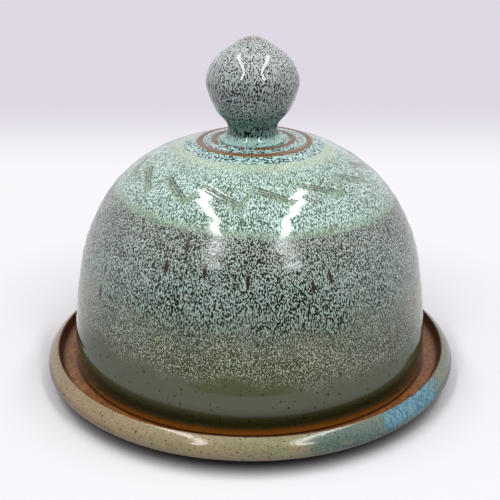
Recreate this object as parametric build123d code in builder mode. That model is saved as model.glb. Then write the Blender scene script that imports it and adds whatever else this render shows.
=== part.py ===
"""A wheel-thrown stoneware butter dish: a saucer with a rolled rim, and a tall domed lid with a knob.

The lid stands loose on the flat floor of the saucer, inside its rim.  The knob is thrown apart from
the dome, then luted with slip to a flat seat on the dome's crown.

Millimetres, +Z up.  The origin is on the table, under the centre of the saucer.
Every outline is drawn in the XZ plane as (radius, height) and turned about the Z axis.
"""

from build123d import *
import os

# The dome, which sets the size of the saucer that carries it
dome_diameter = 146.0  # outside, at the open foot
dome_height = 90.4  # from the open foot to the knob's seat
dome_wall = 5.5  # thickness of the side wall
crown_wall = 6.5  # thickness of the clay under the knob
dome_lip_round = 0.8  # rounding of the open foot's two edges

# The outline of a thrown dome: share of the radius at each share of the height
dome_form = ((0.974, 0.299), (0.885, 0.608), (0.752, 0.787), (0.544, 0.92))
crown_form = (0.323, 0.987)  # where the shoulder ends and the flatter crown begins

# Two turned ridges on the crown, where the glaze breaks over the edge
outer_ridge_diameter = 44.2
outer_ridge_width = 1.9
inner_ridge_diameter = 30.6
inner_ridge_width = 1.1
ridge_stand = 0.45  # how far a ridge stands above the crown

# The knob
knob_diameter = 36.2
knob_height = 40.2  # from its seat to its tip
knob_neck_diameter = 19.6
knob_neck_height = 5.2  # height of the narrowest place above the seat
knob_foot_diameter = 26.4  # the flared foot that is luted to the crown
knob_foot_edge = 0.5  # thickness of the flare at its rim

# The outline of an onion-shaped knob: share of its radius at each share of its height
knob_form = ((0.79, 0.31), (1.0, 0.58), (0.85, 0.76), (0.5, 0.9))

# The saucer
lid_gap = 7.3  # free width of floor between the dome's foot and the rim
rim_width = 4.7  # the rolled rim, from its inner edge to its outermost line
rim_height = 4.9  # crest of the rim above the floor
rim_inner_drop = 0.4  # the inner edge of the rim lies this far below its crest
rim_crest_width = 0.6  # from the rim's inner edge to its crest
rim_widest_drop = 5.3  # the outermost line of the rim lies this far below its crest
rim_fall = 0.45  # slope at which the rim starts to fall outwards from its crest
rim_lean = 1.2  # the rim's inner wall leans out by this much over its height
floor_round = 3.0  # fillet between the floor and the rim's inner wall
floor_thickness = 6.0
foot_ring_diameter = 118.0
foot_ring_width = 6.0
foot_ring_height = 3.0
foot_ring_round = 1.0
underside_run = 9.0  # the underside starts to sweep up to the rim this far inside the outer edge

# Heights and radii that follow from the sizes above
dome_radius = dome_diameter / 2
underside_z = foot_ring_height
floor_z = underside_z + floor_thickness
rim_top_z = floor_z + rim_height
rim_inner_radius = dome_radius + lid_gap
saucer_radius = rim_inner_radius + rim_width
floor_radius = rim_inner_radius - rim_lean
foot_ring_outer = foot_ring_diameter / 2
foot_ring_inner = foot_ring_outer - foot_ring_width
seat_z = floor_z + dome_height
knob_radius = knob_diameter / 2
knob_neck_radius = knob_neck_diameter / 2
knob_foot_radius = knob_foot_diameter / 2
inner_ridge_radius = inner_ridge_diameter / 2
outer_ridge_radius = outer_ridge_diameter / 2
seat_radius = inner_ridge_radius + inner_ridge_width / 2


def dome_points(radius, height):
    """Points of a dome outline of this radius and height that stands on the saucer's floor."""
    return [(radius * across, floor_z + height * up) for across, up in (*dome_form, crown_form)]


def add_ridge(radius, width, surface_z):
    """A round-backed ridge on the crown, as part of the sketch that is being drawn."""
    half = width / 2
    back = (half**2 + ridge_stand**2) / (2 * ridge_stand)
    with Locations((radius, surface_z + ridge_stand - back)):
        Circle(back)


# Saucer: foot ring, underside, rolled rim and flat floor in one turned outline
with BuildPart() as saucer:
    with BuildSketch(Plane.XZ) as saucer_section:
        with BuildLine():
            sweep_start = (saucer_radius - underside_run, underside_z)
            widest = (saucer_radius, rim_top_z - rim_widest_drop)
            rim_top = (rim_inner_radius + rim_crest_width, rim_top_z)
            inner_edge = (rim_inner_radius, rim_top_z - rim_inner_drop)
            Polyline(
                (0, floor_z),
                (0, underside_z),
                (foot_ring_inner, underside_z),
                (foot_ring_inner, 0),
                (foot_ring_outer, 0),
                (foot_ring_outer, underside_z),
                sweep_start,
            )
            Spline(sweep_start, widest, tangents=[(1, 0.15), (0, 1)])
            Spline(widest, rim_top, tangents=[(0, 1), (-1, rim_fall)])
            Spline(rim_top, inner_edge, tangents=[(-1, rim_fall), (-rim_lean, -rim_height)])
            Polyline(inner_edge, (floor_radius, floor_z), (0, floor_z))
        make_face()
        corner = saucer_section.vertices().sort_by_distance((floor_radius, floor_z))[0]
        fillet(corner, floor_round)
        ring_corners = saucer_section.vertices().group_by(Axis.Y)[0]
        fillet(ring_corners, foot_ring_round)
    revolve(axis=Axis.Z)
saucer.part.label = "saucer"

# Dome: an open shell, thicker under the knob, with a flat seat and two ridges on its crown
with BuildPart() as dome:
    with BuildSketch(Plane.XZ) as dome_section:
        inner_radius = dome_radius - dome_wall
        inner_height = dome_height - crown_wall
        with BuildLine():
            outer = [(dome_radius, floor_z), *dome_points(dome_radius, dome_height)]
            inner = [(inner_radius, floor_z), *dome_points(inner_radius, inner_height)]
            seat_edge = (seat_radius, seat_z)
            inner_top = (0, floor_z + inner_height)
            Spline(*outer, seat_edge, tangents=[(0, 1), (-1, 0.02)])
            Line(seat_edge, (0, seat_z))
            Line((0, seat_z), inner_top)
            Spline(*inner, inner_top, tangents=[(0, 1), (-1, 0)])
            Line(inner[0], outer[0])
        make_face()
        add_ridge(inner_ridge_radius, inner_ridge_width, seat_z)
        crown_share = (outer_ridge_radius - seat_radius) / (dome_radius * crown_form[0] - seat_radius)
        ridge_ground = seat_z - crown_share * dome_height * (1 - crown_form[1])
        add_ridge(outer_ridge_radius, outer_ridge_width, ridge_ground)
        lip = dome_section.vertices().group_by(Axis.Y)[0]
        fillet(lip, dome_lip_round)
    revolve(axis=Axis.Z)
dome.part.label = "dome"

# Knob: a flared foot, a narrow neck and an onion-shaped head
with BuildPart() as knob:
    with BuildSketch(Plane.XZ):
        with BuildLine():
            foot_edge = (knob_foot_radius, seat_z)
            flare_top = (knob_foot_radius, seat_z + knob_foot_edge)
            neck = (knob_neck_radius, seat_z + knob_neck_height)
            head = [(knob_radius * across, seat_z + knob_height * up) for across, up in knob_form]
            tip = (0, seat_z + knob_height)
            Line((0, seat_z), foot_edge)
            Line(foot_edge, flare_top)
            Spline(flare_top, neck, tangents=[(-1, 0.12), (0, 1)])
            Spline(neck, *head, tip, tangents=[(0, 1), (-1, 0)])
            Line(tip, (0, seat_z))
        make_face()
    revolve(axis=Axis.Z)
knob.part.label = "knob"

os.makedirs("parts", exist_ok=True)
export_step(saucer.part, "parts/saucer.step")
export_step(dome.part, "parts/dome.step")
export_step(knob.part, "parts/knob.step")
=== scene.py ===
"""The looks of a wheel-thrown butter dish: its clay, its glazes and the light tent it stands in.

Outlines are drawn in millimetres as (radius, height) and turned about the Z axis.
"""

import math

import bpy
from mathutils import Matrix, Vector, noise


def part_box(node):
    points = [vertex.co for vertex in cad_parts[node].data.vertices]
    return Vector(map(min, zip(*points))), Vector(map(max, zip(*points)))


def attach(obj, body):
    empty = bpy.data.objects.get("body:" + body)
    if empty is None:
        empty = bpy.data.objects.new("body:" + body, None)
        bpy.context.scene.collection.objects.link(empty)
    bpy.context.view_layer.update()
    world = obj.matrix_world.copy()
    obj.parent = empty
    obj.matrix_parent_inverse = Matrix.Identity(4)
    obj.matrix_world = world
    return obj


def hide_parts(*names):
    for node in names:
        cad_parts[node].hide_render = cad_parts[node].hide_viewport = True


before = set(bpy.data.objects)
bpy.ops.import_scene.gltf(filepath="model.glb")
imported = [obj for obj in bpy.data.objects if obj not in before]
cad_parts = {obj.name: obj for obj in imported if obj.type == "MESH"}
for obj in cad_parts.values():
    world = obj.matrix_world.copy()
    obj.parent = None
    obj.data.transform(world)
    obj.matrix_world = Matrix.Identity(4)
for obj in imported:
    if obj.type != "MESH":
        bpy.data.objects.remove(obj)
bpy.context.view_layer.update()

bl_info = {
    "name": "Thrown Butter Dish",
    "version": (1, 0, 0),
    "blender": (4, 5, 0),
    "location": "View3D > Sidebar > Butter Dish",
    "description": "Turns a stoneware butter dish and glazes it in turquoise, olive and amber",
    "category": "Add Mesh",
}

MM = 0.001

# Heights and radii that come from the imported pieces, in millimetres
SAUCER_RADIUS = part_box("saucer")[1].x / MM
RIM_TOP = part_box("saucer")[1].z / MM
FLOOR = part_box("dome")[0].z / MM
DOME_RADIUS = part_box("dome")[1].x / MM
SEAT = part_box("knob")[0].z / MM
DOME_HEIGHT = SEAT - FLOOR
KNOB_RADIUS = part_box("knob")[1].x / MM
KNOB_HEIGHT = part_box("knob")[1].z / MM - SEAT

# The dome's wall, in millimetres, and its outline in shares of its radius and height
DOME_WALL = 5.5
CROWN_WALL = 6.5
LIP_ROUND = 0.8
DOME_FORM = ((0.974, 0.299), (0.885, 0.608), (0.752, 0.787), (0.544, 0.92), (0.323, 0.987))

# Two turned ridges on the crown: radius, half width
OUTER_RIDGE = (22.1, 1.35)
INNER_RIDGE = (15.3, 0.95)
RIDGE_STAND = 0.45

# The knob, in millimetres, and its head in shares of its radius and height
NECK_RADIUS = 9.8
NECK_HEIGHT = 5.2
KNOB_FOOT_RADIUS = 13.2
KNOB_FOOT_EDGE = 0.5
KNOB_FORM = ((0.79, 0.31), (1.0, 0.58), (0.85, 0.76), (0.5, 0.9))

# The saucer, in millimetres
RIM_INNER_RADIUS = SAUCER_RADIUS - 4.7
RIM_INNER_DROP = 0.4
RIM_CREST = RIM_INNER_RADIUS + 0.6
RIM_WIDEST_DROP = 5.3
RIM_FALL = 0.45
RIM_LEAN = 1.2
FLOOR_ROUND = 3.0
UNDERSIDE = 3.0
RING_OUTER = 59.0
RING_WIDTH = 6.0
RING_ROUND = 1.0
UNDERSIDE_RUN = 9.0

# The combed wave on the shoulder, in millimetres
COMB_RADIUS = 43.8
COMB_HEIGHT = 90.1
COMB_SLOPE = (-0.83, 0.56)  # the outline's direction there, up and inwards
COMB_TEETH = 3
TOOTH_GAP = 1.25
COMB_WAVES = 15
COMB_STEP = 360 / COMB_WAVES
WAVE_RISE = 3.7

# Where the zones of glaze meet on the dome, in millimetres
BLUE_EDGE = 28.0  # radius of the blue crown
CREAM_EDGE = 35.5  # radius where the cream band fades out
SHOULDER = 79.4  # height of the pale line under the turquoise zone

# How far each turned part lies off the wheel's centre, to the right, in millimetres
KNOB_OFF = 1.05
INNER_RIDGE_OFF = 1.45
OUTER_RIDGE_OFF = 1.85
RINGS_BACK = 0.4  # and the two rings this far to the back
SHOULDER_TILT = 0.045  # the pale line sinks by this share of the way to the right


# ---------------------------------------------------------------- outlines and turning


def flow(points, first=None, last=None, step=0.2):
    """A smooth line through these points; first and last are the directions that it starts and ends in."""
    points = [Vector(point) for point in points]
    gaps = [(b - a).length for a, b in zip(points, points[1:])]
    ways = [(b - a) / gap for a, b, gap in zip(points, points[1:], gaps)]
    slopes = [Vector(first).normalized() if first else ways[0]]
    for i in range(1, len(points) - 1):
        slopes.append((ways[i - 1] * gaps[i] + ways[i] * gaps[i - 1]) / (gaps[i - 1] + gaps[i]))
    slopes.append(Vector(last).normalized() if last else ways[-1])
    line = []
    for i, gap in enumerate(gaps):
        count = max(2, math.ceil(gap / step))
        for k in range(count):
            t = k / count
            start_share = 2 * t**3 - 3 * t**2 + 1
            start_pull = t**3 - 2 * t**2 + t
            end_pull = t**3 - t**2
            line.append(
                points[i] * start_share
                + points[i + 1] * (1 - start_share)
                + (slopes[i] * start_pull + slopes[i + 1] * end_pull) * gap
            )
    line.append(points[-1])
    return line


def quarter(centre, radius, start_degrees, end_degrees, count=6):
    """An arc about a centre, as part of an outline."""
    line = []
    for k in range(count + 1):
        angle = math.radians(start_degrees + (end_degrees - start_degrees) * k / count)
        line.append(Vector((centre[0] + radius * math.cos(angle), centre[1] + radius * math.sin(angle))))
    return line


def thin_out(line, spacing):
    """Keeps the points of a line that are spacing(point) apart, and always its last one."""
    kept = [line[0]]
    for point in line[1:-1]:
        if (point - kept[-1]).length >= spacing(point):
            kept.append(point)
    if (line[-1] - kept[-1]).length < 0.5 * spacing(line[-1]) and len(kept) > 1:
        kept.pop()
    kept.append(line[-1])
    return kept


def turn(name, outline, steps):
    """Draws an outline by extruding a point along it in edit mode, and spins it round into a closed piece."""
    bpy.ops.object.select_all(action="DESELECT")
    bpy.ops.mesh.primitive_plane_add(size=MM, location=(0, 0, 0))
    piece = bpy.context.object
    piece.name = name
    piece.data.name = name
    bpy.ops.object.mode_set(mode="EDIT")
    bpy.ops.mesh.select_all(action="SELECT")
    bpy.ops.mesh.merge(type="CENTER")
    places = [Vector((radius * MM, 0, height * MM)) for radius, height in outline]
    bpy.ops.transform.translate(value=places[0])
    for here, there in zip(places, places[1:]):
        bpy.ops.mesh.extrude_region_move(TRANSFORM_OT_translate={"value": there - here})
    bpy.ops.mesh.select_all(action="SELECT")
    bpy.ops.mesh.spin(steps=steps, angle=math.tau, center=(0, 0, 0), axis=(0, 0, 1))
    bpy.ops.mesh.select_all(action="SELECT")
    bpy.ops.mesh.remove_doubles(threshold=0.01 * MM)
    bpy.ops.mesh.normals_make_consistent(inside=False)
    bpy.ops.mesh.faces_shade_smooth()
    bpy.ops.object.mode_set(mode="OBJECT")
    return piece


def sculpt(piece, press):
    """Moves each point of a turned piece by press(angle, radius, height), millimetres out and up."""
    for vertex in piece.data.vertices:
        x, y, z = vertex.co / MM
        radius = math.hypot(x, y)
        if radius < 0.01:
            continue
        angle = math.atan2(y, x)
        out, up = press(angle, radius, z)
        vertex.co.x += out * MM * x / radius
        vertex.co.y += out * MM * y / radius
        vertex.co.z += up * MM
    piece.data.update()


def smooth(low, high, value):
    """0 below low, 1 above high, and a smooth rise between."""
    share = min(1, max(0, (value - low) / (high - low)))
    return share * share * (3 - 2 * share)


def dome_line(radius, height, last):
    """The outline of a dome of this radius and height, from its foot to where its crown turns flat."""
    points = [(radius, FLOOR)]
    points += [(radius * across, FLOOR + height * up) for across, up in DOME_FORM]
    return flow([*points, last], first=(0, 1), last=(-1, 0.02))


def ridge(radius, line):
    """How far the two turned ridges stand up at this radius."""
    middle, half = line
    share = (radius - middle) / half
    return RIDGE_STAND * math.exp(-1.6 * share * share)


# ---------------------------------------------------------------- shader expressions


def srgb(red, green, blue):
    """A colour given in 0-255 screen values, as the linear RGBA that a socket holds."""
    linear = []
    for value in (red, green, blue):
        share = value / 255
        linear.append(share / 12.92 if share <= 0.04045 else ((share + 0.055) / 1.055) ** 2.4)
    return (*linear, 1.0)


class Field:
    """A number that varies over a surface: wraps a socket, so that maths on it is a plain expression."""

    def __init__(self, tree, socket):
        self.tree = tree
        self.socket = socket

    def math(self, operation, *others, clamp=False):
        node = self.tree.nodes.new("ShaderNodeMath")
        node.operation = operation
        node.use_clamp = clamp
        for place, value in zip(node.inputs, (self, *others)):
            if isinstance(value, Field):
                self.tree.links.new(value.socket, place)
            else:
                place.default_value = value
        return Field(self.tree, node.outputs[0])

    def __add__(self, other):
        return self.math("ADD", other)

    __radd__ = __add__

    def __mul__(self, other):
        return self.math("MULTIPLY", other)

    __rmul__ = __mul__

    def __sub__(self, other):
        return self.math("SUBTRACT", other)

    def __rsub__(self, other):
        return (self * -1) + other

    def __truediv__(self, other):
        return self.math("DIVIDE", other)

    def __pow__(self, other):
        return self.math("POWER", other)

    def __abs__(self):
        return self.math("ABSOLUTE")

    def most(self, other):
        return self.math("MAXIMUM", other)

    def least(self, other):
        return self.math("MINIMUM", other)

    def rise(self, low, high):
        """0 where the value is below low, 1 where it is above high; low may be the larger one."""
        node = self.tree.nodes.new("ShaderNodeMapRange")
        node.interpolation_type = "SMOOTHSTEP"
        for name, value in (("Value", self), ("From Min", low), ("From Max", high)):
            if isinstance(value, Field):
                self.tree.links.new(value.socket, node.inputs[name])
            else:
                node.inputs[name].default_value = value
        return Field(self.tree, node.outputs["Result"])


class Glaze:
    """A material that is being mixed: its nodes, its position in millimetres and its colour layers."""

    def __init__(self, name):
        self.material = bpy.data.materials.new(name)
        self.material.use_nodes = True
        self.tree = self.material.node_tree
        self.shader = self.tree.nodes["Principled BSDF"]
        place = self.node("ShaderNodeTexCoord").outputs["Object"]
        self.place = self.vector("SCALE", place, 1 / MM)
        parts = self.node("ShaderNodeSeparateXYZ", Vector=self.place).outputs
        self.x, self.y, self.z = (Field(self.tree, part) for part in parts)
        self.radius = (self.x * self.x + self.y * self.y) ** 0.5

    def node(self, kind, settings=None, **values):
        """Any node: its type, its settings, and the values or links of its sockets."""
        node = self.tree.nodes.new(kind)
        for name, setting in (settings or {}).items():
            setattr(node, name, setting)
        for name, value in values.items():
            self.feed(node.inputs[name.replace("_", " ")], value)
        return node

    def feed(self, socket, value):
        if isinstance(value, Field):
            self.tree.links.new(value.socket, socket)
        elif isinstance(value, bpy.types.NodeSocket):
            self.tree.links.new(value, socket)
        else:
            socket.default_value = value

    def vector(self, operation, first, second):
        node = self.node("ShaderNodeVectorMath", {"operation": operation})
        self.feed(node.inputs[0], first)
        if operation == "SCALE":
            self.feed(node.inputs["Scale"], second)
        else:
            self.feed(node.inputs[1], second)
        return node.outputs["Value" if operation in ("LENGTH", "DOT_PRODUCT") else 0]

    def stretched(self, across, up):
        """The position, with its features drawn out: a size of one millimetre becomes across by up."""
        place = self.vector("MULTIPLY", self.place, (1 / across, 1 / across, 1 / up))
        return self.node("ShaderNodeMapping", Vector=place, Rotation=(0, 0.12, 0.6)).outputs[0]

    def drawn_down(self, girth, stretch):
        """The position round the axis and down the surface, so that features run down from the crown."""
        round_axis = self.vector("NORMALIZE", self.vector("MULTIPLY", self.place, (1, 1, 0)), (0, 0, 0))
        round_axis = self.vector("SCALE", round_axis, girth)
        down = (self.z - self.radius * 0.9) * (1 / stretch)
        down = self.node("ShaderNodeCombineXYZ", Z=down).outputs[0]
        place = self.vector("ADD", round_axis, down)
        return self.node("ShaderNodeMapping", Vector=place, Rotation=(0, 0.12, 0.6)).outputs[0]

    def noise(self, place, size=1.0, detail=0.0, roughness=0.5, curl=0.0):
        """Smooth noise, about 0.5 on average, whose patches are about this many millimetres across."""
        values = {"Vector": place, "Scale": 1 / size, "Detail": detail, "Roughness": roughness}
        values["Distortion"] = curl
        return Field(self.tree, self.node("ShaderNodeTexNoise", **values).outputs["Fac"])

    def specks(self, place, gap, size, share, dimensions="3D"):
        """Round spots of this size in millimetres, one in each patch of this gap, in a share of the patches."""
        settings = {"voronoi_dimensions": dimensions}
        cells = self.node("ShaderNodeTexVoronoi", settings, Vector=place, Scale=1 / gap)
        distance = Field(self.tree, cells.outputs["Distance"]) * gap
        parts = self.node("ShaderNodeSeparateColor", Color=cells.outputs["Color"]).outputs
        chosen = Field(self.tree, parts["Red"]).rise(1 - share, 1.02 - share)
        spread = Field(self.tree, parts["Green"]) * 0.6 + 0.7
        return (distance / spread).rise(size * 0.6, size * 0.35) * chosen

    def spot(self, centre, width, length):
        """One soft-edged spot, with its centre, width and height in millimetres."""
        away = self.vector("SUBTRACT", self.place, centre)
        away = self.vector("MULTIPLY", away, (2 / width, 2 / width, 2 / length))
        away = Field(self.tree, self.vector("LENGTH", away, (0, 0, 0)))
        return away.rise(1.15, 0.75)

    def drips(self, gap, width, length, share):
        """Spots that bled down a wall, one in each patch of this gap, in a share of the patches."""
        turned = self.x.math("ARCTAN2", self.y * -1)
        place = self.node("ShaderNodeCombineXYZ", X=turned * DOME_RADIUS, Y=self.z * (width / length)).outputs[0]
        return self.specks(place, gap, width, share, "2D")

    def mix(self, factor, first, second):
        """The first colour where factor is 0, and the second where it is 1."""
        node = self.node("ShaderNodeMix", {"data_type": "RGBA"})
        self.feed(node.inputs[0], factor)
        self.feed(node.inputs[6], first)
        self.feed(node.inputs[7], second)
        return node.outputs[2]

    def attribute(self, name):
        return Field(self.tree, self.node("ShaderNodeAttribute", {"attribute_name": name}).outputs["Fac"])

    def finish(self, colour, roughness, height, specular=0.5):
        """Connects the colour, the roughness and the relief, whose height is in millimetres."""
        bump = self.node("ShaderNodeBump", Strength=1.0, Distance=MM, Height=height)
        self.feed(self.shader.inputs["Base Color"], colour)
        self.feed(self.shader.inputs["Roughness"], roughness)
        self.feed(self.shader.inputs["Normal"], bump.outputs["Normal"])
        self.shader.inputs["Specular IOR Level"].default_value = specular
        return self.material


# ---------------------------------------------------------------- glazes


def mix_dome_glaze(colours):
    """Turquoise over the shoulder, pale flecks over olive on the wall, and amber at the foot."""
    glaze = Glaze("dome_glaze")
    fine = glaze.noise(glaze.stretched(1.0, 1.4), 0.37, 0.0, 0.5, 0.3)
    cloud = glaze.noise(glaze.place, 14.0, 2.0)
    drift = glaze.noise(glaze.place, 5.0, 1.0)
    z = glaze.z + glaze.x * SHOULDER_TILT + (drift - 0.5) * 1.8
    crown_x = glaze.x - OUTER_RIDGE_OFF
    crown_y = glaze.y - RINGS_BACK
    crown_radius = (crown_x * crown_x + crown_y * crown_y) ** 0.5
    inner_x = glaze.x - INNER_RIDGE_OFF
    inner_radius = (inner_x * inner_x + crown_y * crown_y) ** 0.5
    radius = crown_radius + (drift - 0.5) * 1.6

    # Each zone's mask, from the foot up
    wall = z.rise(SHOULDER + 0.8, SHOULDER - 0.8)
    mottle = glaze.noise(glaze.stretched(1.0, 2.8), 0.41, 0.0, 0.5, 0.25) * wall
    mottle = mottle + glaze.noise(glaze.drawn_down(54, 2.5), 0.44, 0.0, 0.5, 0.4) * (1 - wall)
    clear = glaze.z + (cloud - 0.5) * 14 + glaze.x * 0.06
    low_wall = (glaze.z + (cloud - 0.5) * 26).rise(60, 36)
    smooth_wall = clear.rise(35, 26)
    front = (glaze.y * -1).rise(20, 68)
    amber = (glaze.z - front * 2.0 + (drift - 0.5) * 1.4).rise(11.4, 8.8)
    blue_crown = radius.rise(BLUE_EDGE + 0.8, BLUE_EDGE - 0.8)
    cream = radius.rise(CREAM_EDGE, BLUE_EDGE + 1.0)
    shoulder_line = z.rise(SHOULDER - 1.0, SHOULDER) * z.rise(SHOULDER + 2.6, SHOULDER + 0.4)

    # The ground that shows between the flecks
    ground = glaze.mix(cloud.rise(0.35, 0.65), srgb(60, 102, 88), srgb(78, 98, 72))
    brown = glaze.mix(drift.rise(0.35, 0.65), srgb(26, 38, 14), srgb(44, 42, 18))
    ground = glaze.mix(wall, ground, brown)
    ground = glaze.mix(wall * low_wall, ground, srgb(76, 80, 48))
    ground = glaze.mix(wall * smooth_wall, ground, srgb(97, 100, 70))
    ground = glaze.mix(blue_crown, ground, srgb(4, 46, 64))
    # Painted shade: the ground turns darker towards the foot, beside the saucer's rim
    ground = glaze.mix(glaze.z.rise(21, 14), ground, srgb(42, 46, 20))

    # The pale flecks that float on it
    flecks = glaze.mix(cloud.rise(0.35, 0.65), srgb(212, 238, 228), srgb(200, 230, 218))
    pale = glaze.mix(glaze.z.rise(62, 74), srgb(172, 194, 184), srgb(178, 194, 184))
    flecks = glaze.mix(wall, flecks, pale)
    flecks = glaze.mix(wall * low_wall, flecks, srgb(196, 206, 184))
    flecks = glaze.mix(wall * smooth_wall, flecks, srgb(101, 104, 73))
    # Painted shade: the flecks also turn darker towards the foot, beside the saucer's rim
    flecks = glaze.mix(glaze.z.rise(21, 14), flecks, srgb(46, 50, 22))
    flecks = glaze.mix(blue_crown, flecks, srgb(192, 228, 220))
    small = wall * low_wall
    level = 0.505 + wall * 0.012 + (cloud - 0.5) * 0.12 + (drift - 0.5) * 0.05
    cover = mottle.rise(level - 0.03, level + 0.03) * (1 - small)
    sparse = level + (1 - front) * 0.03
    cover = cover + fine.rise(sparse + 0.03, sparse + 0.1) * small

    # On the blue crown the flecks are drawn out round it
    rows = (crown_radius * 3.2 + drift * 9).math("SINE") * 0.035
    swirl = (glaze.noise(glaze.stretched(1.5, 1.0), 0.62, 0.8, 0.5, 0.6) + rows).rise(0.455, 0.505)
    cover = cover * (1 - blue_crown) + swirl * blue_crown
    colour = glaze.mix(cover, ground, flecks)

    # Cream where the glaze ran thin, at the crown's edge and along the shoulder
    cream_mask = cream * (1 - blue_crown)
    colour = glaze.mix(cream_mask * (0.5 + cover * 0.4), colour, srgb(*colours.cream))
    colour = glaze.mix(shoulder_line * (0.35 + cover * 0.4), colour, srgb(*colours.shoulder))

    # Combed grooves hold a darker, greener pool
    comb = glaze.attribute("comb")
    pool = glaze.attribute("pool")
    colour = glaze.mix(pool * (1.0 - cover * 0.4), colour, srgb(104, 128, 92))
    colour = glaze.mix(comb.rise(0.1, 0.5) * (0.95 - cover * 0.2), colour, srgb(42, 46, 28))

    # Bare brown on the two turned ridges, the inner one broken
    ragged = glaze.noise(glaze.place, 1.2, 2.0)
    outer = abs(crown_radius - OUTER_RIDGE[0] + 0.4 + (ragged - 0.5) * 1.2)
    outer = (outer - (glaze.y * -1).rise(8, 20) * 0.4).rise(1.45, 1.1)
    broken = glaze.spot((-8, -14, SEAT), 22, 22).rise(1.0, 0.5).most(drift.rise(0.55, 0.6))
    inner = abs(inner_radius - INNER_RIDGE[0] - 0.3 + (ragged - 0.5) * 1.2).rise(1.45, 1.0) * broken
    bare = outer.most(inner) * glaze.z.rise(SEAT - 6, SEAT - 5)
    grain = glaze.noise(glaze.place, 0.5, 1.0)
    clay = glaze.mix(grain.rise(0.35, 0.65), srgb(84, 54, 22), srgb(150, 110, 62))
    colour = glaze.mix(bare, colour, clay)

    # Amber glaze at the foot, darkest at the lip
    foot_brown = glaze.mix(glaze.z.rise(9.8, 13.4), srgb(146, 88, 14), srgb(70, 56, 14))
    colour = glaze.mix(amber, colour, foot_brown)

    # Iron: small spots everywhere, and the larger runs
    iron = glaze.specks(glaze.stretched(1.0, 1.6), 5.0, 0.45, 0.2)
    iron = iron.most(glaze.drips(2.8, 0.55, 0.65, 0.3) * glaze.z.rise(40, 34))
    iron = iron.most(glaze.drips(8.5, 1.6, 5.0, 0.36) * glaze.z.rise(36, 46) * glaze.z.rise(84, 78))
    iron = iron.most(glaze.drips(5.0, 0.9, 1.1, 0.3) * glaze.z.rise(11, 14) * glaze.z.rise(38, 32))
    colour = glaze.mix(iron, colour, srgb(*colours.iron))

    # Inside, a plain thin glaze over the clay
    inside = glaze.attribute("inside")
    lining = glaze.mix(cloud, srgb(148, 156, 128), srgb(120, 124, 94))
    lining = glaze.mix(glaze.specks(glaze.place, 3.5, 0.45, 0.4), lining, srgb(82, 56, 34))
    colour = glaze.mix(inside, colour, lining)

    matt = wall * (1 - smooth_wall)
    height = (cover * 0.03 + mottle * 0.02) * (0.06 + matt * 0.9) + cloud * 0.1 + drift * 0.02 - iron * 0.03
    roughness = 0.06 + matt * 0.13 + bare * 0.3 + (fine - 0.5) * 0.04
    return glaze.finish(colour, roughness, height, 0.75)


def mix_knob_glaze(colours):
    """Grey-turquoise with fine dark dashes, running into streaks towards a teal neck."""
    glaze = Glaze("knob_glaze")
    mottle = glaze.noise(glaze.stretched(1.0, 2.6), 0.42, 0.0, 0.5, 0.25)
    streak = glaze.noise(glaze.stretched(1.0, 4.5), 0.6, 0.3, 0.5, 0.2)
    # Long upright lines, for a painted reflection on the knob's left flank
    turned = glaze.x.math("ARCTAN2", glaze.y * -1)
    lines = glaze.node("ShaderNodeCombineXYZ", X=turned * KNOB_RADIUS, Y=glaze.z * 0.12).outputs[0]
    lines = glaze.noise(lines, 0.55, 0.0, 0.5, 0.3)
    cloud = glaze.noise(glaze.place, 9.0, 2.0)
    rise = glaze.z - SEAT
    neck = (rise + (cloud - 0.5) * 4).rise(18, 7)
    top = (rise + (cloud - 0.5) * 6).rise(22, 33)
    flare = (rise + (cloud - 0.5) * 1.0).rise(3.4, 1.8)
    ground = glaze.mix(neck, srgb(44, 30, 14), srgb(6, 14, 8))
    ground = glaze.mix(flare, ground, srgb(44, 98, 100))
    flecks = glaze.mix(top, srgb(168, 181, 178), srgb(196, 206, 204))
    flecks = glaze.mix(neck, flecks, srgb(110, 144, 138))
    flecks = glaze.mix(flare, flecks, srgb(178, 214, 204))
    level = 0.47 - top * 0.01 - flare * 0.1
    # On the left flank the dashes give way to these lines: a painted reflection
    left = (glaze.x + (cloud - 0.5) * 6).rise(-10, -13) * (1 - neck)
    pattern = mottle * (1 - neck) * (1 - left) + streak * neck + lines * left
    cover = pattern.rise(level - 0.03, level + 0.02)
    colour = glaze.mix(cover, ground, flecks)
    tip = (glaze.z + (mottle - 0.5) * 6 + (cloud - 0.5) * 3).rise(SEAT + KNOB_HEIGHT - 1.4, SEAT + KNOB_HEIGHT)
    rust = glaze.specks(glaze.stretched(1.0, 1.3), 3.6, 0.55, 0.3) * (rise + (cloud - 0.5) * 20).rise(16, 26)
    colour = glaze.mix(rust * 0.85, colour, srgb(96, 64, 34))
    colour = glaze.mix(tip * (0.9 - cover * 0.6), colour, srgb(134, 96, 56))
    height = cloud * 0.02
    return glaze.finish(colour, 0.05, height)


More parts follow.
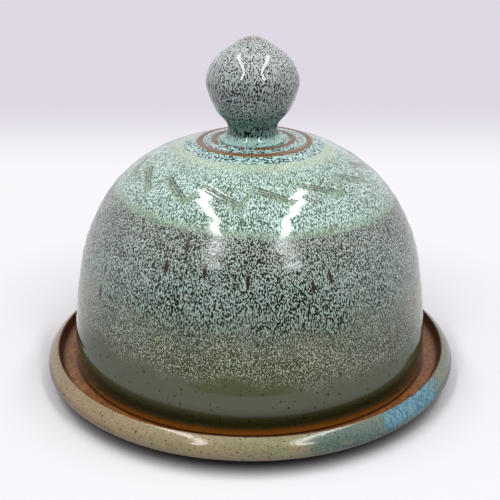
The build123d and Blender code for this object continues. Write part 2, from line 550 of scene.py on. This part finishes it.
def mix_saucer_glaze(colours):
    """Tan and cream on the rim with a blue patch, amber where the floor meets the rim, bare clay below."""
    glaze = Glaze("saucer_glaze")
    cloud = glaze.noise(glaze.place, 16.0, 2.0)
    drift = glaze.noise(glaze.place, 6.0, 2.0)
    mottle = glaze.noise(glaze.place, 1.6, 2.0, 0.6)
    fine = glaze.noise(glaze.place, 0.6, 1.0)

    # The rim: tan, with cream and greenish clouds, and a blue patch on the right
    rim = glaze.mix(cloud.rise(0.4, 0.62), srgb(162, 136, 100), srgb(150, 132, 96))
    front = (glaze.y * -1 + (cloud - 0.5) * 30).rise(60, 76)
    rim = glaze.mix(front, rim, srgb(156, 141, 106))
    green = glaze.spot((14, -83, 11), 46, 40) * drift.rise(0.3, 0.6)
    rim = glaze.mix(green * 0.6, rim, srgb(134, 144, 106))
    right = (glaze.x + (cloud - 0.5) * 14).rise(10, 32)
    rim = glaze.mix(right, rim, srgb(112, 120, 100))
    teal = glaze.spot((40, -74, 9), 40, 34) * drift.rise(0.3, 0.42) * glaze.radius.rise(80.5, 82)
    rim = glaze.mix(teal, rim, srgb(90, 114, 104))
    blue_reach = (glaze.x + (drift - 0.5) * 14).rise(46, 53) * (glaze.y + (drift - 0.5) * 12).rise(-38, -46)
    blue = glaze.mix(mottle.rise(0.35, 0.65), srgb(52, 118, 146), srgb(106, 156, 170))
    rim = glaze.mix(blue_reach * (glaze.z + (mottle - 0.5) * 3).rise(8.0, 9.6), rim, blue)
    rim = glaze.mix(mottle.rise(0.48, 0.7) * 0.35 * (1 - right), rim, srgb(96, 80, 50))
    rim = glaze.mix(fine.rise(0.5, 0.75) * 0.3, rim, srgb(206, 194, 160))
    wiped = (glaze.z + (mottle - 0.5) * 1.0).rise(6.9, 6.2)
    rim = glaze.mix(wiped * 0.8, rim, srgb(168, 152, 126))
    # Painted shade: dark brown low on the rim, where it turns under
    rim = glaze.mix(glaze.z.rise(5.9, 5.2), rim, srgb(74, 56, 40))

    # The floor: amber glaze over pinkish clay, sweeping up into the rim
    inner = glaze.radius.rise(RIM_INNER_RADIUS + 0.5, RIM_INNER_RADIUS - 0.1)
    inner = inner * glaze.z.rise(FLOOR - 1.0, FLOOR - 0.5)
    floor = glaze.mix(mottle.rise(0.3, 0.7), srgb(160, 100, 40), srgb(104, 58, 14))
    sweep = (glaze.radius + (mottle - 0.5) * 1.5).rise(76.6, 78.6)
    floor = glaze.mix(sweep * 0.9, floor, srgb(112, 64, 22))
    # Painted shade: a dark ring on the floor where the dome's foot stands
    shade = (glaze.radius + (mottle - 0.5) * 0.8).rise(74.0, 73.0) * glaze.radius.rise(69.5, 72.5)
    floor = glaze.mix(shade, floor, srgb(70, 40, 12))
    colour = glaze.mix(inner, rim, floor)
    # Painted shade: a dark line under the rim's inner edge, left out at the front
    edge = abs(glaze.radius - RIM_INNER_RADIUS + 0.1 + (mottle - 0.5) * 0.8).rise(0.65, 0.3)
    edge = edge * glaze.z.rise(FLOOR + 1.5, FLOOR + 2.5) * (glaze.y * -1).rise(70, 50)
    colour = glaze.mix(edge * 0.85, colour, srgb(86, 50, 20))

    # Dark specks, and bare clay under the dish
    specks = glaze.specks(glaze.place, 1.4, 0.55, 0.6).most(glaze.specks(glaze.place, 5.5, 1.1, 0.3))
    colour = glaze.mix(specks * 0.95, colour, srgb(40, 22, 10))
    bare = glaze.z.rise(3.6, 3.1) * glaze.radius.rise(74, 72)
    clay = glaze.mix(mottle, srgb(150, 118, 88), srgb(126, 96, 70))
    clay = glaze.mix(specks * 0.5, clay, srgb(72, 48, 32))
    colour = glaze.mix(bare, colour, clay)
    height = cloud * 0.2 + mottle * 0.03 + fine * 0.01 - specks * 0.03
    roughness = 0.13 + bare * 0.6 + inner * 0.3 + (mottle - 0.5) * 0.1
    return glaze.finish(colour, roughness, height)


# ---------------------------------------------------------------- pieces


class DishSettings(bpy.types.PropertyGroup):
    """Sizes and colours of the dish that a maker may want to change."""

    ring_depth: bpy.props.FloatProperty(
        name="Throwing rings",
        description="How far the potter's fingers left rings in the wall, in millimetres",
        default=0.12,
        min=0.0,
        max=1.0,
    )
    comb_depth: bpy.props.FloatProperty(
        name="Comb depth",
        description="Depth of the combed wave on the shoulder, in millimetres",
        default=0.2,
        min=0.0,
        max=1.0,
    )
    cream: bpy.props.IntVectorProperty(
        name="Cream band",
        description="Screen colour of the band at the crown's edge",
        default=(202, 220, 196),
    )
    shoulder: bpy.props.IntVectorProperty(
        name="Shoulder line",
        description="Screen colour of the line under the turquoise zone",
        default=(160, 182, 156),
    )
    iron: bpy.props.IntVectorProperty(
        name="Iron",
        description="Screen colour of the iron spots and runs",
        default=(56, 20, 12),
    )


class StudioSettings(bpy.types.PropertyGroup):
    """The light tent and the camera."""

    strip_glow: bpy.props.FloatProperty(
        name="Strip lamps",
        description="Power of the strip lamps over the dish, in watts for each square metre",
        default=45.0,
        min=0.0,
    )
    strip_width: bpy.props.FloatProperty(
        name="Strip width",
        description="Width of the strip lamps",
        default=0.09,
        min=0.01,
        unit="LENGTH",
    )
    room_light: bpy.props.FloatProperty(
        name="Tent light",
        description="Brightness of the tent's walls",
        default=0.3,
        min=0.0,
    )
    lens: bpy.props.FloatProperty(
        name="Lens",
        description="Focal length of the camera, in millimetres",
        default=70.85,
        min=10.0,
    )


def paint_attribute(piece, name, amount):
    """Stores amount(angle, radius, height) on each point of a piece, for its glaze to read."""
    layer = piece.data.attributes.new(name, "FLOAT", "POINT")
    values = []
    for vertex in piece.data.vertices:
        x, y, z = vertex.co / MM
        values.append(amount(math.atan2(y, x), math.hypot(x, y), z))
    layer.data.foreach_set("value", values)


def comb_along(radius, height):
    """How far up the shoulder a point lies from the middle of the combed band, in millimetres."""
    return (radius - COMB_RADIUS) * COMB_SLOPE[0] + (height - COMB_HEIGHT) * COMB_SLOPE[1]


def comb_crest(number):
    """Where a crest of the wave stands, in degrees from the front: a hand's spacing is never quite even."""
    return 2 + COMB_STEP * number + 2.5 * math.sin(0.9 * number)


def comb_wave(angle):
    """The comb's height at an angle, and the share of the wave that lies behind it: a long fall, a short rise."""
    degrees = math.degrees(angle) + 90
    if degrees > 180:
        degrees -= 360
    number = math.floor((degrees - 2) / COMB_STEP)
    if degrees < comb_crest(number):
        number -= 1
    if degrees >= comb_crest(number + 1):
        number += 1
    share = (degrees - comb_crest(number)) / (comb_crest(number + 1) - comb_crest(number))
    if share < 0.74:
        return WAVE_RISE * (1 - 2 * (share / 0.74) ** 1.15), share
    return WAVE_RISE * (2 * smooth(0.74, 1.0, share) - 1), share


def comb_groove(angle, radius, height):
    """How deep in a tooth's groove a point of the shoulder lies, 0 to 1."""
    along = comb_along(radius, height)
    if abs(along) > 7 or height < FLOOR + 60:
        return 0.0
    middle, share = comb_wave(angle)
    first = middle - TOOTH_GAP * (COMB_TEETH - 1) / 2
    groove = 0.0
    for tooth in range(COMB_TEETH):
        wobble = 0.2 * noise.noise(Vector((angle * 16, tooth * 2.3, 0.5)))
        away = abs(along - first - tooth * TOOTH_GAP + wobble)
        start = 0.05 - 0.015 * tooth
        length = smooth(start, start + 0.06, share) * (1 - smooth(0.46 + 0.1 * tooth, 0.66 + 0.08 * tooth, share))
        press = (0.6 + 0.2 * tooth) * (1.0 + 0.6 * noise.noise(Vector((angle * 30, tooth * 1.7, 4.5))))
        groove = max(groove, (1 - smooth(0.05, 0.42, away)) * (0.1 + 0.9 * length) * min(1, max(0.3, press)))
    return groove


def comb_pool(angle, radius, height):
    """Where the glaze pooled in the combed band and its low turns, 0 to 1."""
    along = comb_along(radius, height)
    if abs(along) > 9 or height < FLOOR + 60:
        return 0.0
    middle, share = comb_wave(angle)
    band = 1 - smooth(1.4, 2.6, abs(along - middle + 0.4))
    low = smooth(0.56, 0.74, share) * (1 - smooth(0.86, 0.97, share))
    return band * (0.7 + 0.3 * low)


def is_inside_dome(radius, height):
    """Whether a point lies on the hollow side of the dome's shell."""
    across = radius / (DOME_RADIUS - DOME_WALL / 2)
    up = (height - FLOOR) / (DOME_HEIGHT - CROWN_WALL / 2)
    outline = [(1.0, 0.0), *DOME_FORM, (0.0, 1.0)]
    for (wide, low), (narrow, high) in zip(outline, outline[1:]):
        if low <= up <= high:
            middle = wide + (narrow - wide) * (up - low) / (high - low)
            return across < middle
    return False


def off_centre(radius):
    """How far the crown's rings lie to the right of the wheel's centre at this radius."""
    if radius < INNER_RIDGE[0]:
        return INNER_RIDGE_OFF * radius / INNER_RIDGE[0]
    share = (radius - INNER_RIDGE[0]) / (OUTER_RIDGE[0] - INNER_RIDGE[0])
    return (INNER_RIDGE_OFF + (OUTER_RIDGE_OFF - INNER_RIDGE_OFF) * min(1, share)) * (1 - smooth(25, 42, radius))


class DISH_OT_dome(bpy.types.Operator):
    """Turn the dome, comb its shoulder and glaze it"""

    bl_idname = "dish.dome"
    bl_label = "Throw the dome"

    def execute(self, context):
        sizes = context.scene.dish_settings
        seat_edge = (INNER_RIDGE[0] + 0.55, SEAT)
        inner_radius = DOME_RADIUS - DOME_WALL
        inner_height = DOME_HEIGHT - CROWN_WALL
        outer = dome_line(DOME_RADIUS, DOME_HEIGHT, seat_edge)
        outer = [point for point in outer if point.y >= FLOOR + LIP_ROUND]
        outer = thin_out(outer, self.row_gap)
        inner = flow(
            [(inner_radius, FLOOR)]
            + [(inner_radius * across, FLOOR + inner_height * up) for across, up in DOME_FORM]
            + [(0, FLOOR + inner_height)],
            first=(0, 1),
            last=(-1, 0),
        )
        inner = [point for point in inner if point.y >= FLOOR + LIP_ROUND]
        inner = thin_out(inner, lambda point: 4.5)
        seat = [Vector((radius, SEAT)) for radius in (15.4, 15.0, 14.6, 14.2, 9.0, 4.0, 0.0)]
        lip = quarter((inner_radius + LIP_ROUND, FLOOR + LIP_ROUND), LIP_ROUND, 180, 270)
        lip += quarter((DOME_RADIUS - LIP_ROUND, FLOOR + LIP_ROUND), LIP_ROUND, 270, 360)[:-1]
        outline = [*reversed(inner), *lip[1:], *outer, *seat]
        for point in outline:
            if point.y > FLOOR + DOME_HEIGHT * 0.95:
                point.y += ridge(point.x, OUTER_RIDGE) + ridge(point.x, INNER_RIDGE)
        piece = turn("dome_shell", outline, 512)
        paint_attribute(piece, "comb", comb_groove)
        paint_attribute(piece, "pool", comb_pool)
        paint_attribute(piece, "inside", lambda angle, radius, height: float(is_inside_dome(radius, height)))

        def press(angle, radius, height):
            """Finger rings that climb the wall, a slight swing of the whole form, and the comb's grooves."""
            on_wall = smooth(FLOOR + 4, FLOOR + 14, height) * (1 - smooth(SEAT - 14, SEAT - 6, height))
            rings = math.sin(height / 5.5 * math.tau + angle)
            rings += 0.6 * math.sin(height / 3.1 * math.tau + angle + 2)
            swing = noise.noise(Vector((math.cos(angle), math.sin(angle), height / 40)))
            groove = sizes.comb_depth * comb_groove(angle, radius, height)
            out = (sizes.ring_depth * rings + 0.35 * swing) * on_wall
            return out + groove * -COMB_SLOPE[1], groove * COMB_SLOPE[0]

        sculpt(piece, press)
        for vertex in piece.data.vertices:
            if vertex.co.z / MM > FLOOR + DOME_HEIGHT * 0.93:
                vertex.co.x += off_centre(math.hypot(vertex.co.x, vertex.co.y) / MM) * MM
        piece.data.update()
        piece.data.materials.append(mix_dome_glaze(sizes))
        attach(piece, "lid")
        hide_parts("dome")
        return {"FINISHED"}

    @staticmethod
    def row_gap(point):
        """Rows lie closer where the comb and the crown's ridges need them."""
        if abs(comb_along(point.x, point.y)) < 6.3:
            return 0.34
        for middle, half in (OUTER_RIDGE, INNER_RIDGE):
            if abs(point.x - middle) < 2.2 * half:
                return 0.3
        return 1.8


class DISH_OT_knob(bpy.types.Operator):
    """Turn the onion-shaped knob and glaze it"""

    bl_idname = "dish.knob"
    bl_label = "Throw the knob"

    def execute(self, context):
        flare_top = (KNOB_FOOT_RADIUS, SEAT + KNOB_FOOT_EDGE)
        neck = (NECK_RADIUS, SEAT + NECK_HEIGHT)
        head = [(KNOB_RADIUS * across, SEAT + KNOB_HEIGHT * up) for across, up in KNOB_FORM]
        tip = (0, SEAT + KNOB_HEIGHT)
        foot = [Vector((radius, SEAT)) for radius in (0, 5, 10, 12.8)]
        flare = [Vector((KNOB_FOOT_RADIUS, SEAT + 0.1))]
        flare += flow([flare_top, neck], first=(-1, 0.12), last=(0, 1))
        body = flow([neck, *head, tip], first=(0, 1), last=(-1, 0))
        outline = [*foot, *thin_out(flare, lambda point: 0.5)]
        outline += thin_out(body, lambda point: 0.6)[1:]
        piece = turn("knob_body", outline, 256)

        def press(angle, radius, height):
            """A slight swing, and a fuller belly above the neck."""
            up = (height - SEAT) / KNOB_HEIGHT
            on_head = smooth(0.1, 0.3, up) * (1 - smooth(0.9, 1.0, up))
            swing = noise.noise(Vector((math.cos(angle), math.sin(angle), height / 14)))
            belly = 0.5 * smooth(0.12, 0.26, up) * (1 - smooth(0.32, 0.5, up))
            return 0.12 * swing * on_head + belly, 0.0

        sculpt(piece, press)
        for vertex in piece.data.vertices:
            vertex.co.x += KNOB_OFF * MM
        piece.data.update()
        piece.data.materials.append(mix_knob_glaze(context.scene.dish_settings))
        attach(piece, "lid")
        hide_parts("knob")
        return {"FINISHED"}


class DISH_OT_saucer(bpy.types.Operator):
    """Turn the saucer with its rolled rim and foot ring, and glaze it"""

    bl_idname = "dish.saucer"
    bl_label = "Throw the saucer"

    def execute(self, context):
        rim_top = (RIM_CREST, RIM_TOP)
        inner_edge = (RIM_INNER_RADIUS, RIM_TOP - RIM_INNER_DROP)
        widest = (SAUCER_RADIUS, RIM_TOP - RIM_WIDEST_DROP)
        floor_edge = RIM_INNER_RADIUS - RIM_LEAN
        inner_wall = (RIM_LEAN, inner_edge[1] - FLOOR)
        lean = math.atan2(inner_wall[1], inner_wall[0])
        round_start = floor_edge - FLOOR_ROUND * math.tan(lean / 2)
        sweep = (SAUCER_RADIUS - UNDERSIDE_RUN, UNDERSIDE)
        ring_inner = RING_OUTER - RING_WIDTH
        outline = [Vector((radius, FLOOR)) for radius in (0, 20, 40, 56, 66, 70, 73, 75)]
        outline += quarter((round_start, FLOOR + FLOOR_ROUND), FLOOR_ROUND, 270, 270 + math.degrees(lean), 9)
        outline += flow([outline[-1], inner_edge], first=inner_wall, last=inner_wall, step=0.6)[1:]
        outline += flow([inner_edge, rim_top], first=inner_wall, last=(1, -RIM_FALL), step=0.12)[1:]
        outline += flow([rim_top, widest], first=(1, -RIM_FALL), last=(0, -1), step=0.4)[1:]
        outline += flow([widest, sweep], first=(0, -1), last=(-1, -0.15), step=0.7)[1:]
        outline += [Vector((radius, UNDERSIDE)) for radius in (70, 64, RING_OUTER)]
        outline += quarter((RING_OUTER - RING_ROUND, RING_ROUND), RING_ROUND, 0, -90)
        outline += quarter((ring_inner + RING_ROUND, RING_ROUND), RING_ROUND, -90, -180)
        outline += [Vector((radius, UNDERSIDE)) for radius in (ring_inner, 40, 20, 0)]
        piece = turn("saucer_body", outline, 512)

        def press(angle, radius, height):
            """The rim swings a little in and out, and up and down."""
            at_rim = smooth(RIM_INNER_RADIUS - 4, RIM_INNER_RADIUS, radius) * smooth(2.5, 7, height)
            swing = noise.noise(Vector((math.cos(angle) * 1.3, math.sin(angle) * 1.3, 3.7)))
            lift = noise.noise(Vector((math.cos(angle) * 1.6, math.sin(angle) * 1.6, 9.2)))
            return (0.5 * swing - 0.25) * at_rim, (0.4 * lift - 0.2) * at_rim

        sculpt(piece, press)
        piece.data.materials.append(mix_saucer_glaze(context.scene.dish_settings))
        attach(piece, "dish")
        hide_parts("saucer")
        return {"FINISHED"}


# ---------------------------------------------------------------- studio


def strip_lamp(name, start, end, width, glow):
    """A long soft lamp between two points, in metres, that faces the dish."""
    start, end = Vector(start), Vector(end)
    data = bpy.data.lights.new(name, "AREA")
    data.shape = "RECTANGLE"
    data.size = (end - start).length
    data.size_y = width
    data.energy = glow * (end - start).length * width
    lamp = bpy.data.objects.new(name, data)
    bpy.context.scene.collection.objects.link(lamp)
    middle = (start + end) / 2
    along = (end - start).normalized()
    back = (middle - Vector((0, 0, 0.08))).normalized()
    back = (back - along * back.dot(along)).normalized()
    side = back.cross(along)
    lamp.matrix_world = _frame(along, side, back, middle)


def _frame(along, side, back, middle):
    """A placement from three axes and a point."""
    rows = [(along[i], side[i], back[i], middle[i]) for i in range(3)]
    return Matrix([*rows, (0, 0, 0, 1)])


class DISH_OT_studio(bpy.types.Operator):
    """Set up the pale floor, the light tent and the camera"""

    bl_idname = "dish.studio"
    bl_label = "Set up the studio"

    def execute(self, context):
        studio = context.scene.studio_settings
        self.lay_floor()
        for side, name in ((-1, "left"), (1, "right")):
            reach = 0.40 * side + 0.02
            top = ((reach, 0.28, 0.98), (reach, -0.42, 1.1))
            middle = ((reach, -0.42, 1.1), (reach, -0.74, 0.92))
            front = ((reach, -0.74, 0.92), (reach, -0.68, 0.53))
            for part, ends in (("top", top), ("middle", middle), ("front", front)):
                strip_lamp(f"{part}_strip_{name}", *ends, studio.strip_width, studio.strip_glow)
        self.light_tent(context.scene, studio.room_light)
        self.place_camera(context.scene, studio.lens)
        context.scene.view_settings.view_transform = "Standard"
        return {"FINISHED"}

    @staticmethod
    def lay_floor():
        """A wide white floor that keeps the shadow of the dish, with a painted shadow darkening it further under the
        rim, and glows lavender-grey further back.
        """
        bpy.ops.object.select_all(action="DESELECT")
        bpy.ops.mesh.primitive_plane_add(size=8, location=(0, 0, 0))
        floor = bpy.context.object
        floor.name = "tent_floor"
        cloth = Glaze("tent_cloth")
        seen = Field(cloth.tree, cloth.node("ShaderNodeLightPath").outputs["Is Camera Ray"])
        near = cloth.mix(seen, srgb(200, 197, 202), (0.94, 0.925, 0.955, 1))
        gloss = Field(cloth.tree, cloth.tree.nodes["Light Path"].outputs["Is Glossy Ray"])
        front_edge = cloth.mix(cloth.y.rise(-130, -137), srgb(172, 182, 196), srgb(66, 68, 60))
        near = cloth.mix(gloss, near, front_edge)
        # Painted shadow: the floor's colour darkens under the dish's rim
        near = cloth.mix(cloth.radius.rise(89, 72) * 0.8, near, srgb(30, 26, 28))
        cloth.feed(cloth.shader.inputs["Base Color"], near)
        cloth.shader.inputs["Roughness"].default_value = 0.9
        cloth.shader.inputs["Specular IOR Level"].default_value = 0.0
        far = cloth.mix(cloth.y.rise(260, 460) * abs(cloth.x).rise(700, 350), srgb(249, 247, 251), srgb(223, 217, 229))
        glow = cloth.node("ShaderNodeEmission", Color=far, Strength=1.0)
        away = (cloth.radius.rise(105, 190) * seen).most(cloth.y.rise(-10, 50) * gloss)
        both = cloth.node("ShaderNodeMixShader", Fac=away)
        cloth.feed(both.inputs[1], cloth.shader.outputs[0])
        cloth.feed(both.inputs[2], glow.outputs[0])
        cloth.feed(cloth.tree.nodes["Material Output"].inputs["Surface"], both.outputs[0])
        floor.data.materials.append(cloth.material)

    @staticmethod
    def light_tent(scene, strength):
        """A pale world, seen white by the camera; in reflections its open front is dark."""
        world = bpy.data.worlds.new("light_tent")
        world.use_nodes = True
        tree = world.node_tree
        shade = tree.nodes["Background"]
        path = tree.nodes.new("ShaderNodeLightPath")
        camera = Field(tree, path.outputs["Is Camera Ray"])
        gloss = Field(tree, path.outputs["Is Glossy Ray"])
        way = tree.nodes.new("ShaderNodeSeparateXYZ")
        tree.links.new(tree.nodes.new("ShaderNodeTexCoord").outputs["Generated"], way.inputs[0])
        walls = Field(tree, way.outputs["Y"]).rise(-0.75, -0.1) * 0.9 + 0.1
        open_sky = Field(tree, way.outputs["Z"]).rise(-0.1, 0.8) * 0.6 + 0.6
        level = (camera.most(gloss) * -1 + 1) * open_sky * strength + camera * 0.95 + gloss * walls
        tree.links.new(level.socket, shade.inputs["Strength"])
        shade.inputs["Color"].default_value = srgb(250, 247, 253)
        scene.world = world

    @staticmethod
    def place_camera(scene, lens):
        """The camera in front of the dish, a little above its knob."""
        data = bpy.data.cameras.new("camera")
        data.lens = lens
        data.sensor_width = 36
        camera = bpy.data.objects.new("camera", data)
        scene.collection.objects.link(camera)
        camera.location = (0, -0.3759, 0.2053)
        camera.rotation_euler = (math.radians(67.8), 0, 0)
        scene.camera = camera


class DISH_PT_panel(bpy.types.Panel):
    """Lists the steps in the 3D view's sidebar"""

    bl_label = "Butter Dish"
    bl_space_type = "VIEW_3D"
    bl_region_type = "UI"
    bl_category = "Butter Dish"

    def draw(self, context):
        for settings in (context.scene.dish_settings, context.scene.studio_settings):
            for name in settings.__annotations__:
                self.layout.prop(settings, name)
        for step in STEPS:
            self.layout.operator(step.bl_idname)


STEPS = (DISH_OT_saucer, DISH_OT_dome, DISH_OT_knob, DISH_OT_studio)
CLASSES = (DishSettings, StudioSettings, *STEPS, DISH_PT_panel)


def register():
    for each in CLASSES:
        bpy.utils.register_class(each)
    bpy.types.Scene.dish_settings = bpy.props.PointerProperty(type=DishSettings)
    bpy.types.Scene.studio_settings = bpy.props.PointerProperty(type=StudioSettings)


def unregister():
    del bpy.types.Scene.studio_settings
    del bpy.types.Scene.dish_settings
    for each in reversed(CLASSES):
        bpy.utils.unregister_class(each)


def main():
    """Makes the pieces in order, and then the studio."""
    register()
    bpy.ops.dish.saucer()
    bpy.ops.dish.dome()
    bpy.ops.dish.knob()
    bpy.ops.dish.studio()


if __name__ == "__main__":
    main()
